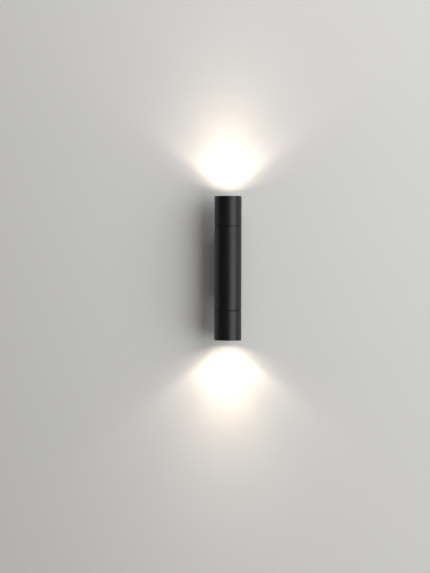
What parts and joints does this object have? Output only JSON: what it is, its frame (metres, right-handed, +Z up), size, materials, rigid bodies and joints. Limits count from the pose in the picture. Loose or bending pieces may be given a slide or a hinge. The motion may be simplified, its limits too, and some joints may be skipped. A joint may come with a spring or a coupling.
{
  "type": "tube wall light",
  "caption": "Slim black tube wall light on a hidden wall box, with screw-off hoods at both ends that throw light up and down the wall.",
  "frame": {"origin": "on the wall plane, at the middle of the wall bracket, behind the middle of the tube", "axes": "+X to the right seen from the room, +Y into the wall, +Z up along the tube"},
  "size_m": [0.06, 0.085, 0.318],
  "materials": {
    "black_coat": "fine black powder coat over aluminium",
    "black_steel": "black oxide screw",
    "zinc": "zinc-plated sheet and screws",
    "ceramic": "unglazed ceramic",
    "bronze": "sprung phosphor bronze",
    "brass": "turned brass",
    "seal_rubber": "black rubber",
    "silicone": "clear-grey silicone",
    "glass": "clear toughened glass",
    "lamp_white": "white moulded lamp shell",
    "lamp_lens": "lit lens, warm white",
    "board": "white light board",
    "block_plastic": "natural nylon",
    "bush_plastic": "black nylon",
    "brown_wire": "brown lead insulation",
    "blue_wire": "blue lead insulation",
    "earth_wire": "green and yellow lead insulation"
  },
  "bodies": {
    "root": {"body_tube": "black_coat", "wall_box": "black_coat", "wall_bracket": "zinc", "box_lock_screws": "black_steel", "saddle_screws": "zinc", "nut_plate": "zinc", "feed_bush": "bush_plastic", "cable_grommet": "seal_rubber", "terminal_block": "block_plastic", "terminal_barrels": "brass", "terminal_screws": "zinc", "terminal_fixing_screw": "zinc", "earth_screw": "brass", "earth_tags": "zinc", "tube_earth_lead": "earth_wire", "bracket_earth_lead": "earth_wire", "upper_collar": "black_coat", "upper_seal_ring": "seal_rubber", "upper_holder_strap": "zinc", "upper_strap_screws": "zinc", "upper_lampholder": "ceramic", "upper_holder_screws": "zinc", "upper_contacts": "bronze", "upper_line_lead": "brown_wire", "upper_neutral_lead": "blue_wire", "lower_collar": "black_coat", "lower_seal_ring": "seal_rubber", "lower_holder_strap": "zinc", "lower_strap_screws": "zinc", "lower_lampholder": "ceramic", "lower_holder_screws": "zinc", "lower_contacts": "bronze", "lower_line_lead": "brown_wire", "lower_neutral_lead": "blue_wire"},
    "upper_lamp": {"upper_lamp_base": "lamp_white", "upper_lamp_pins": "zinc", "upper_lamp_shell": "lamp_white", "upper_lamp_board": "board", "upper_lamp_lens": "lamp_lens"},
    "upper_hood": {"upper_hood": "black_coat", "upper_hood_gasket": "silicone", "upper_glass_ring": "black_coat"},
    "upper_glass": {"upper_hood_glass": "glass"},
    "lower_lamp": {"lower_lamp_base": "lamp_white", "lower_lamp_pins": "zinc", "lower_lamp_shell": "lamp_white", "lower_lamp_board": "board", "lower_lamp_lens": "lamp_lens"},
    "lower_hood": {"lower_hood": "black_coat", "lower_hood_gasket": "silicone", "lower_glass_ring": "black_coat"},
    "lower_glass": {"lower_hood_glass": "glass"}
  },
  "joints": [
    {"name": "upper_hood_travel", "type": "slide", "parent": "root", "child": "upper_glass", "axis": [0, 0, 1], "range_m": [0, 0.0075]},
    {"name": "upper_hood_turn", "type": "hinge", "parent": "upper_glass", "child": "upper_hood", "pos_m": [0, -0.055, 0.126], "axis": [0, 0, 1], "range_deg": [0, 1800]},
    {"name": "upper_lamp_twist", "type": "hinge", "parent": "root", "child": "upper_lamp", "pos_m": [0, -0.055, 0.096], "axis": [0, 0, 1], "range_deg": [0, 40]},
    {"name": "lower_hood_travel", "type": "slide", "parent": "root", "child": "lower_glass", "axis": [0, 0, -1], "range_m": [0, 0.0075]},
    {"name": "lower_hood_turn", "type": "hinge", "parent": "lower_glass", "child": "lower_hood", "pos_m": [0, -0.055, -0.126], "axis": [0, 0, -1], "range_deg": [0, 1800]},
    {"name": "lower_lamp_twist", "type": "hinge", "parent": "root", "child": "lower_lamp", "pos_m": [0, -0.055, -0.096], "axis": [0, 0, -1], "range_deg": [0, 40]}
  ],
  "couplings": [
    {"joint": "upper_hood_travel", "follows": "upper_hood_turn", "m_per_rad": 0.00023873},
    {"joint": "lower_hood_travel", "follows": "lower_hood_turn", "m_per_rad": 0.00023873}
  ]
}
